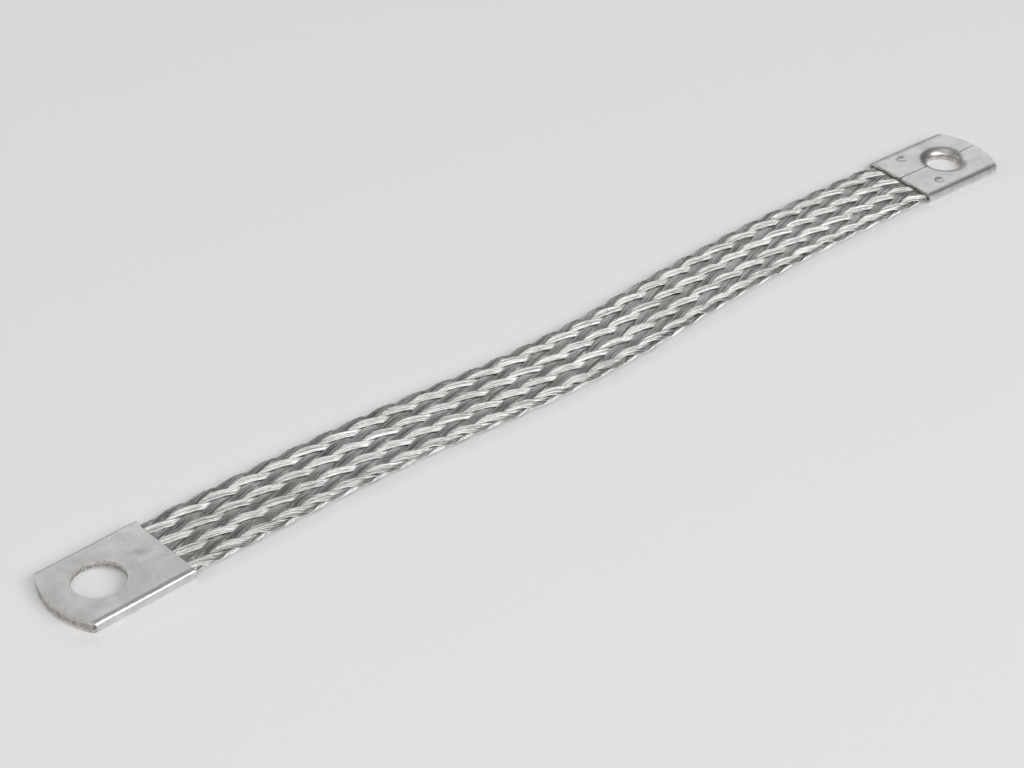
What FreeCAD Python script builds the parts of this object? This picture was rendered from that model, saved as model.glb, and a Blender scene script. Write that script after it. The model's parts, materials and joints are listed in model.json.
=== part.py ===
# Flat earthing braid: thirty-two woven strands of tinned copper wire with a pressed, punched
# sleeve on each end. Millimetres, +Z up. The origin is the near bolt hole's axis, on the
# surface that the strap lies on, and +X runs along the strap towards the far hole.
import FreeCAD, Part
import math
import os

import Sketcher
from FreeCAD import Placement, Rotation, Vector

# Driving dimensions: name, value and what it is.
SIZES = (
    ("braid_width", 14.8, "across the flat braid, fold to fold"),
    ("braid_thickness", 1.9, "through the flat braid, both walls of the woven tube"),
    ("wall_gap", 0.1, "between the two walls of the flattened tube"),
    ("strand_pitch", 5.7, "between neighbouring strands of one direction, along the braid"),
    ("strand_gap", 0.15, "between neighbouring strands of one direction, across the braid"),
    ("crossing_gap", 0.06, "between strands of the two directions where they cross"),
    ("weave_offset", 5.5, "from the braid's middle to a line where strands change places"),
    ("pressed_width", 14.9, "across the crushed strands inside a sleeve"),
    ("pressed_thickness", 0.9, "through the crushed strands inside a sleeve"),
    ("pressed_fit", 0.02, "round the strands where they enter a sleeve"),
    ("squeeze_length", 6.0, "over which the braid narrows towards a sleeve"),
    ("bite", 3.0, "from a sleeve's mouth to where the strands are crushed solid"),
    ("sleeve_wall", 0.55, "sheet thickness of a sleeve"),
    ("sleeve_length", 20.0, "from a sleeve's tip to its mouth"),
    ("seam_gap", 0.15, "between the strip's two edges along the seam"),
    ("near_hole", 8.4, "bolt hole of the near sleeve"),
    ("far_hole", 6.4, "bolt hole of the far sleeve"),
    ("hole_setback", 8.3, "from a sleeve's tip to its bolt hole"),
    ("rim_radius", 1.5, "bend of the seam-side sheet where it is drawn into the bolt hole"),
    ("rim_depth", 0.95, "how far the seam-side sheet is drawn into the bolt hole"),
    ("end_bulge", 2.4, "how far the rounded end stands out past its corners"),
    ("dimple_diameter", 2.0, "punch mark on the seam side"),
    ("dimple_depth", 0.25, "punch mark on the seam side"),
    ("dimple_setback", 5.4, "from a sleeve's mouth to its punch marks"),
    ("dimple_spread", 9.8, "between a sleeve's two punch marks"),
)

# Middle line of the braid from bolt hole to bolt hole, seen from above.
ROUTE = ((0.0, 0.0), (44.0, 0.0), (89.0, -6.0), (122.0, -3.9), (155.0, -4.2), (187.0, -6.9))
ARC_SHARE = 0.45

# Sixteen strands run each way, and as many columns of floats go round the braid.
STRANDS_EACH_WAY = 16
# A float's middle stands this many layers off the middle of the woven wall, where a layer is
# a strand's thickness and the gap at a crossing.
FLOAT_RISE = 0.78
# A strand tips this many layers per column where it dives between its neighbours.
SHINGLE = 1.85
# Corners of a strand's flat eight-sided section, in degrees round its oval.
SECTION_CORNERS = (0, 60, 90, 120, 180, 240, 270, 300)
# Spacing along the braid of the points that a strand's edges pass through.
STATION_STEP = 0.6
# Cutting outlines reach this far past what they cut.
OVERSHOOT = 0.3

SLEEVE_WIDTH = "(Sizes.pressed_width + 2 * Sizes.sleeve_wall)"
SLEEVE_HALF_THICKNESS = "(Sizes.pressed_thickness / 2 + Sizes.sleeve_wall)"
FOLD_CENTRE = "(Sizes.pressed_width - Sizes.pressed_thickness) / 2"
END_RADIUS = f"((({SLEEVE_WIDTH} / 2) ^ 2 + Sizes.end_bulge ^ 2) / (2 * Sizes.end_bulge))"
RIM_REACH = "sqrt(Sizes.rim_depth * (2 * Sizes.rim_radius - Sizes.rim_depth))"
DIMPLE_RADIUS = "((Sizes.dimple_diameter ^ 2 / 4 + Sizes.dimple_depth ^ 2) / (2 * Sizes.dimple_depth))"

# Ends of a sketch line or arc, and the sketch's own origin and horizontal axis.
START, END, CENTRE = 1, 2, 3
ORIGIN = (-1, 1)
AXIS_X = -1


def make_sheet(doc):
    """Spreadsheet of the driving dimensions, one aliased cell each."""
    sheet = doc.addObject("Spreadsheet::Sheet", "Sizes")
    for row, (name, value, meaning) in enumerate(SIZES, start=1):
        sheet.set(f"A{row}", name)
        sheet.set(f"B{row}", str(value))
        sheet.setAlias(f"B{row}", name)
        sheet.set(f"C{row}", meaning)
    doc.recompute()
    return sheet


def origin_plane(body, role):
    """A body's own origin plane, by its role."""
    return next(f for f in body.Origin.OriginFeatures if f.Role == role)


def new_sketch(body, name, role):
    """Empty sketch on one of a body's origin planes."""
    sketch = body.newObject("Sketcher::SketchObject", name)
    sketch.AttachmentSupport = [(origin_plane(body, role), "")]
    sketch.MapMode = "FlatFace"
    return sketch


def bind(sketch, name, expression, constraint):
    """Add a named dimension to a sketch and tie it to the sheet."""
    index = sketch.addConstraint(constraint)
    sketch.renameConstraint(index, name)
    sketch.setExpression(f"Constraints.{name}", expression)


def half_circle(centre_x, radius, side):
    """Right-hand (side 1) or left-hand (side -1) half circle about a point on the axis."""
    circle = Part.Circle(Vector(centre_x, 0, 0), Vector(0, 0, 1), radius)
    middle = 0.0 if side > 0 else math.pi
    return Part.ArcOfCircle(circle, middle - math.pi / 2, middle + math.pi / 2)


def line(ax, ay, bx, by):
    """Sketch line between two points."""
    return Part.LineSegment(Vector(ax, ay, 0), Vector(bx, by, 0))


def sleeve_section(sketch, sheet):
    """Folded strip's section: two half-round folds and an open seam at the top middle."""
    fold = (sheet.pressed_width - sheet.pressed_thickness) / 2
    inner = sheet.pressed_thickness / 2
    outer = inner + sheet.sleeve_wall
    gap = sheet.seam_gap / 2
    sketch.addGeometry(
        [
            line(gap, outer, fold, outer),
            half_circle(fold, outer, 1),
            line(fold, -outer, -fold, -outer),
            half_circle(-fold, outer, -1),
            line(-fold, outer, -gap, outer),
            line(-gap, outer, -gap, inner),
            line(-gap, inner, -fold, inner),
            half_circle(-fold, inner, -1),
            line(-fold, -inner, fold, -inner),
            half_circle(fold, inner, 1),
            line(fold, inner, gap, inner),
            line(gap, inner, gap, outer),
        ],
        False,
    )
    smooth_joints = (
        (0, END, 1, END), (1, START, 2, START), (2, END, 3, END), (3, START, 4, START),
        (6, END, 7, START), (7, END, 8, START), (8, END, 9, START), (9, END, 10, START),
    )
    for joint in smooth_joints:
        sketch.addConstraint(Sketcher.Constraint("Tangent", *joint))
    for joint in ((4, END, 5, START), (5, END, 6, START), (10, END, 11, START), (11, END, 0, START)):
        sketch.addConstraint(Sketcher.Constraint("Coincident", *joint))
    for joint in ((1, CENTRE, 9, CENTRE), (3, CENTRE, 7, CENTRE)):
        sketch.addConstraint(Sketcher.Constraint("Coincident", *joint))
    for index in (0, 2, 4, 6, 8, 10):
        sketch.addConstraint(Sketcher.Constraint("Horizontal", index))
    for index in (5, 11):
        sketch.addConstraint(Sketcher.Constraint("Vertical", index))
    for index in (1, 3):
        sketch.addConstraint(Sketcher.Constraint("PointOnObject", index, CENTRE, AXIS_X))
    bind(sketch, "right_fold", FOLD_CENTRE, Sketcher.Constraint("DistanceX", *ORIGIN, 1, CENTRE, fold))
    bind(sketch, "left_fold", FOLD_CENTRE, Sketcher.Constraint("DistanceX", 3, CENTRE, *ORIGIN, fold))
    bind(sketch, "outer_fold", SLEEVE_HALF_THICKNESS, Sketcher.Constraint("Radius", 1, outer))
    bind(sketch, "inner_fold", "Sizes.pressed_thickness / 2", Sketcher.Constraint("Radius", 9, inner))
    bind(sketch, "right_seam", "Sizes.seam_gap / 2", Sketcher.Constraint("DistanceX", *ORIGIN, 0, START, gap))
    bind(sketch, "left_seam", "Sizes.seam_gap / 2", Sketcher.Constraint("DistanceX", 4, END, *ORIGIN, gap))


def pressed_section(sketch, sheet):
    """Section of the crushed strands, which fills the inside of the folded strip."""
    fold = (sheet.pressed_width - sheet.pressed_thickness) / 2
    inner = sheet.pressed_thickness / 2
    sketch.addGeometry(
        [
            line(-fold, inner, fold, inner),
            half_circle(fold, inner, 1),
            line(fold, -inner, -fold, -inner),
            half_circle(-fold, inner, -1),
        ],
        False,
    )
    for joint in ((0, END, 1, END), (1, START, 2, START), (2, END, 3, END), (3, START, 0, START)):
        sketch.addConstraint(Sketcher.Constraint("Tangent", *joint))
    sketch.addConstraint(Sketcher.Constraint("Horizontal", 0))
    sketch.addConstraint(Sketcher.Constraint("PointOnObject", 1, CENTRE, AXIS_X))
    sketch.addConstraint(Sketcher.Constraint("PointOnObject", 3, CENTRE, AXIS_X))
    bind(sketch, "right_fold", FOLD_CENTRE, Sketcher.Constraint("DistanceX", *ORIGIN, 1, CENTRE, fold))
    bind(sketch, "left_fold", FOLD_CENTRE, Sketcher.Constraint("DistanceX", 3, CENTRE, *ORIGIN, fold))
    bind(sketch, "fold_radius", "Sizes.pressed_thickness / 2", Sketcher.Constraint("Radius", 1, inner))


def pad(body, sketch, length):
    """Draw a section out along the strap."""
    feature = body.newObject("PartDesign::Pad", "Pad")
    feature.Profile = sketch
    feature.setExpression("Length", length)
    sketch.Visibility = False
    return feature


def pocket_through(body, sketch, name):
    """Cut an outline right through, upwards and downwards."""
    feature = body.newObject("PartDesign::Pocket", name)
    feature.Profile = sketch
    feature.Type = "ThroughAll"
    feature.Midplane = True
    return feature


def pocket_upwards(body, sketch, name):
    """Cut an outline from its own plane up through the seam side."""
    feature = body.newObject("PartDesign::Pocket", name)
    feature.Profile = sketch
    feature.Type = "ThroughAll"
    feature.Reversed = True
    return feature


def cut_rounded_end(body, sheet):
    """Crop the tip to a shallow arc from side to side."""
    half_width = sheet.pressed_width / 2 + sheet.sleeve_wall
    radius = (half_width ** 2 + sheet.end_bulge ** 2) / (2 * sheet.end_bulge)
    reach = half_width + OVERSHOOT
    swing = math.asin(reach / radius)
    edge_x = radius - radius * math.cos(swing)
    sketch = new_sketch(body, "EndOutline", "XY_Plane")
    circle = Part.Circle(Vector(radius, 0, 0), Vector(0, 0, 1), radius)
    sketch.addGeometry(
        [
            Part.ArcOfCircle(circle, math.pi - swing, math.pi + swing),
            line(edge_x, reach, -OVERSHOOT, reach),
            line(-OVERSHOOT, reach, -OVERSHOOT, -reach),
            line(-OVERSHOOT, -reach, edge_x, -reach),
        ],
        False,
    )
    for joint in ((0, START, 1, START), (1, END, 2, START), (2, END, 3, START), (3, END, 0, END)):
        sketch.addConstraint(Sketcher.Constraint("Coincident", *joint))
    sketch.addConstraint(Sketcher.Constraint("Horizontal", 1))
    sketch.addConstraint(Sketcher.Constraint("Vertical", 2))
    sketch.addConstraint(Sketcher.Constraint("Horizontal", 3))
    sketch.addConstraint(Sketcher.Constraint("PointOnObject", 0, CENTRE, AXIS_X))
    sketch.addConstraint(Sketcher.Constraint("DistanceX", 1, END, *ORIGIN, OVERSHOOT))
    reach_text = f"{SLEEVE_WIDTH} / 2 + {OVERSHOOT}"
    bind(sketch, "end_radius", END_RADIUS, Sketcher.Constraint("Radius", 0, radius))
    bind(sketch, "end_centre", END_RADIUS, Sketcher.Constraint("DistanceX", *ORIGIN, 0, CENTRE, radius))
    bind(sketch, "reach_left", reach_text, Sketcher.Constraint("DistanceY", *ORIGIN, 1, END, reach))
    bind(sketch, "reach_right", reach_text, Sketcher.Constraint("DistanceY", 3, START, *ORIGIN, reach))
    return pocket_through(body, sketch, "RoundedEnd")


def hole_outline(body, sheet, name, radius, expression):
    """Circle about the bolt hole's axis."""
    sketch = new_sketch(body, name, "XY_Plane")
    sketch.addGeometry(Part.Circle(Vector(sheet.hole_setback, 0, 0), Vector(0, 0, 1), radius), False)
    sketch.addConstraint(Sketcher.Constraint("PointOnObject", 0, CENTRE, AXIS_X))
    setback = Sketcher.Constraint("DistanceX", *ORIGIN, 0, CENTRE, sheet.hole_setback)
    bind(sketch, "setback", "Sizes.hole_setback", setback)
    bind(sketch, "radius", expression, Sketcher.Constraint("Radius", 0, radius))
    return sketch


def cut_bolt_hole(body, sheet, hole):
    """Punch the bolt hole."""
    radius = getattr(sheet, hole) / 2
    sketch = hole_outline(body, sheet, "HoleOutline", radius, f"Sizes.{hole} / 2")
    return pocket_through(body, sketch, "BoltHole")


def rim_reach(sheet):
    """How far the drawn rim spreads outside the bolt hole."""
    return math.sqrt(sheet.rim_depth * (2 * sheet.rim_radius - sheet.rim_depth))


def rim_sketch(body, sheet, name):
    """Empty upright sketch, its origin where the hole's axis meets the seam-side face."""
    sketch = new_sketch(body, name, "XZ_Plane")
    top = sheet.pressed_thickness / 2 + sheet.sleeve_wall
    sketch.AttachmentOffset = Placement(Vector(sheet.hole_setback, top, 0), Rotation())
    sketch.setExpression("AttachmentOffset.Base.x", "Sizes.hole_setback")
    sketch.setExpression("AttachmentOffset.Base.y", SLEEVE_HALF_THICKNESS)
    return sketch


def draw_rim(body, sheet, hole):
    """Bend the seam-side sheet down into the bolt hole."""
    radius = getattr(sheet, hole) / 2
    middle = radius + rim_reach(sheet)
    opening_text = f"Sizes.{hole} / 2 + {RIM_REACH}"
    opening = hole_outline(body, sheet, "RimOpening", middle, opening_text)
    pocket_upwards(body, opening, "RimClearance")
    bend = sheet.rim_radius
    inner_bend = bend - sheet.sleeve_wall
    finish = math.pi / 2 + math.acos(1 - sheet.rim_depth / bend)
    towards = Vector(math.cos(finish), math.sin(finish), 0)
    centre = Vector(middle, -bend, 0)
    outer_end = centre + towards * bend
    inner_end = centre + towards * inner_bend
    sketch = rim_sketch(body, sheet, "RimSection")
    sketch.addGeometry(
        [
            Part.ArcOfCircle(Part.Circle(centre, Vector(0, 0, 1), bend), math.pi / 2, finish),
            Part.ArcOfCircle(Part.Circle(centre, Vector(0, 0, 1), inner_bend), math.pi / 2, finish),
            line(middle, 0, middle, -sheet.sleeve_wall),
            line(outer_end.x, outer_end.y, inner_end.x, inner_end.y),
        ],
        False,
    )
    for joint in ((0, START, 2, START), (1, START, 2, END), (0, END, 3, START), (1, END, 3, END)):
        sketch.addConstraint(Sketcher.Constraint("Coincident", *joint))
    sketch.addConstraint(Sketcher.Constraint("Coincident", 0, CENTRE, 1, CENTRE))
    sketch.addConstraint(Sketcher.Constraint("Vertical", 2))
    sketch.addConstraint(Sketcher.Constraint("PointOnObject", 0, CENTRE, 2))
    sketch.addConstraint(Sketcher.Constraint("PointOnObject", 0, CENTRE, 3))
    bind(sketch, "bend", "Sizes.rim_radius", Sketcher.Constraint("Radius", 0, bend))
    inner_text = "Sizes.rim_radius - Sizes.sleeve_wall"
    bind(sketch, "inner_bend", inner_text, Sketcher.Constraint("Radius", 1, inner_bend))
    bind(sketch, "middle", opening_text, Sketcher.Constraint("DistanceX", *ORIGIN, 0, CENTRE, middle))
    bind(sketch, "drop", "Sizes.rim_radius", Sketcher.Constraint("DistanceY", 0, CENTRE, *ORIGIN, bend))
    bind(sketch, "bore", f"Sizes.{hole} / 2", Sketcher.Constraint("DistanceX", *ORIGIN, 0, END, radius))
    rim = body.newObject("PartDesign::Revolution", "DrawnRim")
    rim.Profile = sketch
    rim.ReferenceAxis = (sketch, ["V_Axis"])
    rim.Angle = 360
    return rim


def clear_rim(body, sheet, hole):
    """Cut the crushed strands back from the drawn rim."""
    radius = getattr(sheet, hole) / 2
    middle = radius + rim_reach(sheet)
    inner_bend = sheet.rim_radius - sheet.sleeve_wall
    finish = math.pi / 2 + math.acos(1 - sheet.rim_depth / sheet.rim_radius)
    centre = Vector(middle, -sheet.rim_radius, 0)
    inner_end = centre + Vector(math.cos(finish), math.sin(finish), 0) * inner_bend
    near_axis = radius - OVERSHOOT
    above = OVERSHOOT - sheet.sleeve_wall
    sketch = rim_sketch(body, sheet, "RimClearance")
    sketch.addGeometry(
        [
            Part.ArcOfCircle(Part.Circle(centre, Vector(0, 0, 1), inner_bend), math.pi / 2, finish),
            line(inner_end.x, inner_end.y, radius, -sheet.rim_depth),
            line(radius, -sheet.rim_depth, near_axis, -sheet.rim_depth),
            line(near_axis, -sheet.rim_depth, near_axis, above),
            line(near_axis, above, middle, above),
            line(middle, above, middle, -sheet.sleeve_wall),
        ],
        False,
    )
    joints = ((0, END, 1, START), (1, END, 2, START), (2, END, 3, START), (3, END, 4, START), (4, END, 5, START))
    for joint in joints + ((5, END, 0, START),):
        sketch.addConstraint(Sketcher.Constraint("Coincident", *joint))
    for index in (2, 4):
        sketch.addConstraint(Sketcher.Constraint("Horizontal", index))
    for index in (3, 5):
        sketch.addConstraint(Sketcher.Constraint("Vertical", index))
    sketch.addConstraint(Sketcher.Constraint("PointOnObject", 0, CENTRE, 5))
    sketch.addConstraint(Sketcher.Constraint("PointOnObject", 0, CENTRE, 1))
    sketch.addConstraint(Sketcher.Constraint("DistanceX", 2, END, 2, START, OVERSHOOT))
    sketch.addConstraint(Sketcher.Constraint("DistanceY", 5, END, 5, START, OVERSHOOT))
    opening_text = f"Sizes.{hole} / 2 + {RIM_REACH}"
    inner_text = "Sizes.rim_radius - Sizes.sleeve_wall"
    bind(sketch, "inner_bend", inner_text, Sketcher.Constraint("Radius", 0, inner_bend))
    bind(sketch, "middle", opening_text, Sketcher.Constraint("DistanceX", *ORIGIN, 0, CENTRE, middle))
    drop = Sketcher.Constraint("DistanceY", 0, CENTRE, *ORIGIN, sheet.rim_radius)
    bind(sketch, "drop", "Sizes.rim_radius", drop)
    bind(sketch, "bore", f"Sizes.{hole} / 2", Sketcher.Constraint("DistanceX", *ORIGIN, 2, START, radius))
    depth = Sketcher.Constraint("DistanceY", 2, START, *ORIGIN, sheet.rim_depth)
    bind(sketch, "depth", "Sizes.rim_depth", depth)
    groove = body.newObject("PartDesign::Groove", "RimGroove")
    groove.Profile = sketch
    groove.ReferenceAxis = (sketch, ["V_Axis"])
    groove.Angle = 360
    return groove


def slit_seam(body, sheet):
    """Carry the seam through the drawn rim."""
    half = sheet.seam_gap / 2
    first = -OVERSHOOT
    last = sheet.sleeve_length + OVERSHOOT
    sketch = new_sketch(body, "SeamOutline", "XY_Plane")
    sketch.AttachmentOffset = Placement(Vector(0, 0, -sheet.pressed_thickness / 2), Rotation())
    sketch.setExpression("AttachmentOffset.Base.z", "-Sizes.pressed_thickness / 2")
    sketch.addGeometry(
        [
            line(first, -half, last, -half),
            line(last, -half, last, half),
            line(last, half, first, half),
            line(first, half, first, -half),
        ],
        False,
    )
    for joint in ((0, END, 1, START), (1, END, 2, START), (2, END, 3, START), (3, END, 0, START)):
        sketch.addConstraint(Sketcher.Constraint("Coincident", *joint))
    for index in (0, 2):
        sketch.addConstraint(Sketcher.Constraint("Horizontal", index))
    for index in (1, 3):
        sketch.addConstraint(Sketcher.Constraint("Vertical", index))
    sketch.addConstraint(Sketcher.Constraint("DistanceX", 3, START, *ORIGIN, OVERSHOOT))
    end_text = f"Sizes.sleeve_length + {OVERSHOOT}"
    bind(sketch, "end", end_text, Sketcher.Constraint("DistanceX", *ORIGIN, 1, START, last))
    bind(sketch, "left", "Sizes.seam_gap / 2", Sketcher.Constraint("DistanceY", *ORIGIN, 2, START, half))
    bind(sketch, "right", "Sizes.seam_gap / 2", Sketcher.Constraint("DistanceY", 0, START, *ORIGIN, half))
    return pocket_upwards(body, sketch, "Seam")


def punch_dimples(body, sheet):
    """Press two shallow round marks into the seam side, one towards each fold."""
    for name, side in (("DimpleLeft", 1), ("DimpleRight", -1)):
        dimple = body.newObject("PartDesign::SubtractiveSphere", name)
        dimple.setExpression("Radius", DIMPLE_RADIUS)
        dimple.setExpression("Placement.Base.x", "Sizes.sleeve_length - Sizes.dimple_setback")
        dimple.setExpression("Placement.Base.y", f"{side} * Sizes.dimple_spread / 2")
        height = f"{SLEEVE_HALF_THICKNESS} + {DIMPLE_RADIUS} - Sizes.dimple_depth"
        dimple.setExpression("Placement.Base.z", height)


def make_sleeve(doc, sheet, label, hole):
    """End sleeve, tip at its own origin, mouth along +X and seam up."""
    body = doc.addObject("PartDesign::Body", label)
    body.Label = label
    section = new_sketch(body, "Section", "YZ_Plane")
    sleeve_section(section, sheet)
    pad(body, section, "Sizes.sleeve_length")
    cut_rounded_end(body, sheet)
    cut_bolt_hole(body, sheet, hole)
    draw_rim(body, sheet, hole)
    slit_seam(body, sheet)
    punch_dimples(body, sheet)
    doc.recompute()
    return body


def make_pressed_end(doc, sheet, label, hole):
    """Crushed ends of all the strands, inside a sleeve and cropped and punched with it."""
    body = doc.addObject("PartDesign::Body", label)
    body.Label = label
    section = new_sketch(body, "Section", "YZ_Plane")
    pressed_section(section, sheet)
    pad(body, section, "Sizes.sleeve_length - Sizes.bite")
    cut_rounded_end(body, sheet)
    cut_bolt_hole(body, sheet, hole)
    clear_rim(body, sheet, hole)
    doc.recompute()
    return body


def place_near(body):
    """Stand a sleeve or its filling at the near end, tip towards -X and seam down."""
    body.Placement = Placement(Vector(0, 0, 0), Rotation(Vector(1, 0, 0), 180))
    body.setExpression("Placement.Base.x", "-Sizes.hole_setback")
    body.setExpression("Placement.Base.z", SLEEVE_HALF_THICKNESS)


def place_far(body):
    """Stand a sleeve or its filling at the far end, along the last run and seam up."""
    (ax, ay), (bx, by) = ROUTE[-2:]
    heading = math.atan2(by - ay, bx - ax)
    body.Placement = Placement(Vector(0, 0, 0), Rotation(Vector(0, 0, 1), 180 + math.degrees(heading)))
    body.setExpression("Placement.Base.x", f"{bx} + Sizes.hole_setback * {math.cos(heading)}")
    body.setExpression("Placement.Base.y", f"{by} + Sizes.hole_setback * {math.sin(heading)}")
    body.setExpression("Placement.Base.z", SLEEVE_HALF_THICKNESS)


def centre_line(height):
    """Route as straight runs joined by tangent arcs, each as large as its runs allow."""
    points = [Vector(x, y, height) for x, y in ROUTE]
    edges = []
    start = points[0]
    for before, corner, after in zip(points, points[1:], points[2:]):
        run_in = corner - before
        run_out = after - corner
        turn = run_in.getAngle(run_out)
        setback = ARC_SHARE * min(run_in.Length, run_out.Length)
        radius = setback / math.tan(turn / 2)
        print(f"route arc at x {corner.x:.0f}: radius {radius:.0f} mm, turn {math.degrees(turn):.1f} degrees")
        towards = Vector(run_out).normalize()
        back = Vector(run_in).normalize().negative()
        arc_start = corner + back * setback
        arc_end = corner + towards * setback
        inwards = (towards + back).normalize()
        arc_middle = corner + inwards * (math.hypot(radius, setback) - radius)
        edges.append(Part.LineSegment(start, arc_start).toShape())
        edges.append(Part.Arc(arc_start, arc_middle, arc_end).toShape())
        start = arc_end
    edges.append(Part.LineSegment(start, points[-1]).toShape())
    return Part.Wire(edges)


def frames_along(wire, lengths):
    """Point on the route and direction to its left, at each length from the near hole."""
    frames = []
    for length in lengths:
        left = length
        edges = wire.OrderedEdges
        for edge in edges[:-1]:
            if left <= edge.Length:
                break
            left -= edge.Length
        else:
            edge = edges[-1]
        parameter = edge.getParameterByLength(left)
        along = edge.tangentAt(parameter)
        if edge.valueAt(edge.FirstParameter).x > edge.valueAt(edge.LastParameter).x:
            parameter = edge.getParameterByLength(edge.Length - left)
            along = edge.tangentAt(parameter).negative()
        frames.append((edge.valueAt(parameter), Vector(-along.y, along.x, 0)))
    return frames


def ease(share):
    """Smooth step from 0 to 1."""
    share = min(max(share, 0.0), 1.0)
    return share * share * (3.0 - 2.0 * share)


class Weave:
    """Places the strands of a flattened tubular braid, each over two and under two."""

    def __init__(self, sheet):
        half_thickness = sheet.braid_thickness / 2
        self.reach = (half_thickness - sheet.wall_gap / 2) / 2
        self.fold_radius = half_thickness - self.reach
        self.flat = sheet.braid_width / 2 - half_thickness
        self.girth = 4 * self.flat + 2 * math.pi * self.fold_radius
        self.column = self.girth / STRANDS_EACH_WAY
        self.pitch = sheet.strand_pitch
        self.width = self.column - sheet.strand_gap
        self.layer = self.reach / self.envelope()
        self.thickness = self.layer - sheet.crossing_gap
        self.offset = sheet.weave_offset

    def envelope(self):
        """Highest point that a strand reaches off the wall's middle, in layers."""
        cover = self.width / self.column
        highest = 0.0
        for step in range(101):
            share = step / 100
            side = share * cover / 2
            bulge = 0.5 * math.sqrt(1 - share ** 2)
            highest = max(highest, math.hypot(FLOAT_RISE, SHINGLE * side) + bulge)
        return highest

    def wrap(self, around, off):
        """Across and up, for a place round the tube and its height off the wall's middle."""
        radius = self.fold_radius + off
        turn = math.pi * self.fold_radius
        place = (around - self.offset) % self.girth
        if place < self.flat:
            return -place, radius
        place -= self.flat
        if place < turn:
            angle = place / self.fold_radius
            return -self.flat - radius * math.sin(angle), radius * math.cos(angle)
        place -= turn
        if place < 2 * self.flat:
            return place - self.flat, -radius
        place -= 2 * self.flat
        if place < turn:
            angle = place / self.fold_radius
            return self.flat + radius * math.sin(angle), -radius * math.cos(angle)
        return self.flat - (place - turn), radius

    def ring(self, along, hand, order):
        """Corners of a strand's section at one place along the braid."""
        middle = hand * self.column * (along / self.pitch - order)
        points = []
        for corner in SECTION_CORNERS:
            angle = math.radians(corner)
            side = self.width / 2 * math.cos(angle)
            bulge = self.thickness / 2 * math.sin(angle)
            phase = math.pi * (middle + side) / self.column
            tip = SHINGLE * side / self.column
            off = hand * self.layer * (FLOAT_RISE * math.sin(phase) - tip * math.cos(phase))
            points.append(self.wrap(middle + side, off + bulge))
        return points


def smooth_rail(corners, lengths):
    """Smooth curve through one corner of each of a strand's sections."""
    rail = Part.BSplineCurve()
    rail.interpolate(Points=list(corners), Parameters=lengths)
    return rail


def ruled_side(rail, neighbour):
    """Face whose straight rulings join two rails."""
    surface = Part.BSplineSurface()
    surface.buildFromPolesMultsKnots(
        [rail.getPoles(), neighbour.getPoles()],
        [2, 2],
        rail.getMultiplicities(),
        [0.0, 1.0],
        rail.getKnots(),
        False,
        False,
        1,
        rail.Degree,
    )
    return surface.toShape()


def closed_tube(rows, lengths):
    """Solid with a smooth rail through each row of corners, ruled sides and flat ends."""
    rails = [smooth_rail(corners, lengths) for corners in zip(*rows)]
    faces = [ruled_side(*pair) for pair in zip(rails, rails[1:] + rails[:1])]
    for row in (rows[0], rows[-1]):
        faces.append(Part.Face(Part.makePolygon(row + row[:1])))
    shell = Part.makeShell(faces)
    shell.sewShape()
    solid = Part.makeSolid(shell)
    if solid.Volume < 0:
        solid.reverse()
    return solid


def make_strands(doc, sheet):
    """Weave the strands of both directions along the route."""
    weave = Weave(sheet)
    height = sheet.pressed_thickness / 2 + sheet.sleeve_wall
    route = centre_line(height)
    mouth = sheet.sleeve_length - sheet.hole_setback
    far_mouth = route.Length - mouth
    first = mouth - sheet.bite
    last = far_mouth + sheet.bite
    count = math.ceil((last - first) / STATION_STEP)
    lengths = [first + (last - first) * k / count for k in range(count + 1)]
    frames = frames_along(route, lengths)
    narrow = (sheet.pressed_width - 2 * sheet.pressed_fit) / sheet.braid_width
    flatten = (sheet.pressed_thickness - 2 * sheet.pressed_fit) / sheet.braid_thickness
    loose = [ease(min(at - mouth, far_mouth - at) / sheet.squeeze_length) for at in lengths]
    print(f"strand {weave.width:.2f} x {weave.thickness:.3f} mm, column {weave.column:.3f} mm")
    strands = []
    for letter, hand, shift in (("r", 1, 0.0), ("l", -1, 0.5)):
        for number in range(STRANDS_EACH_WAY):
            rows = []
            for at, (point, left), free in zip(lengths, frames, loose):
                across_scale = narrow + (1 - narrow) * free
                up_scale = flatten + (1 - flatten) * free
                row = []
                for across, up in weave.ring(at, hand, number + shift):
                    row.append(point + left * (across * across_scale) + Vector(0, 0, up * up_scale))
                rows.append(row)
            strand = doc.addObject("Part::Feature", f"strand_{letter}{number + 1:02d}")
            strand.Label = f"strand_{letter}{number + 1:02d}"
            strand.Shape = closed_tube(rows, lengths)
            strands.append(strand)
    return strands


def check_document(doc, pieces):
    """Stop if any object failed or any piece has no sound shape."""
    for item in doc.Objects:
        if "Invalid" in item.State or "Error" in item.State:
            raise RuntimeError(f"{item.Label} failed: {item.State}")
    for piece in pieces:
        shape = piece.Shape
        if shape.isNull() or not shape.isValid() or not shape.Solids:
            raise RuntimeError(f"{piece.Label} has no valid solid")


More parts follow.
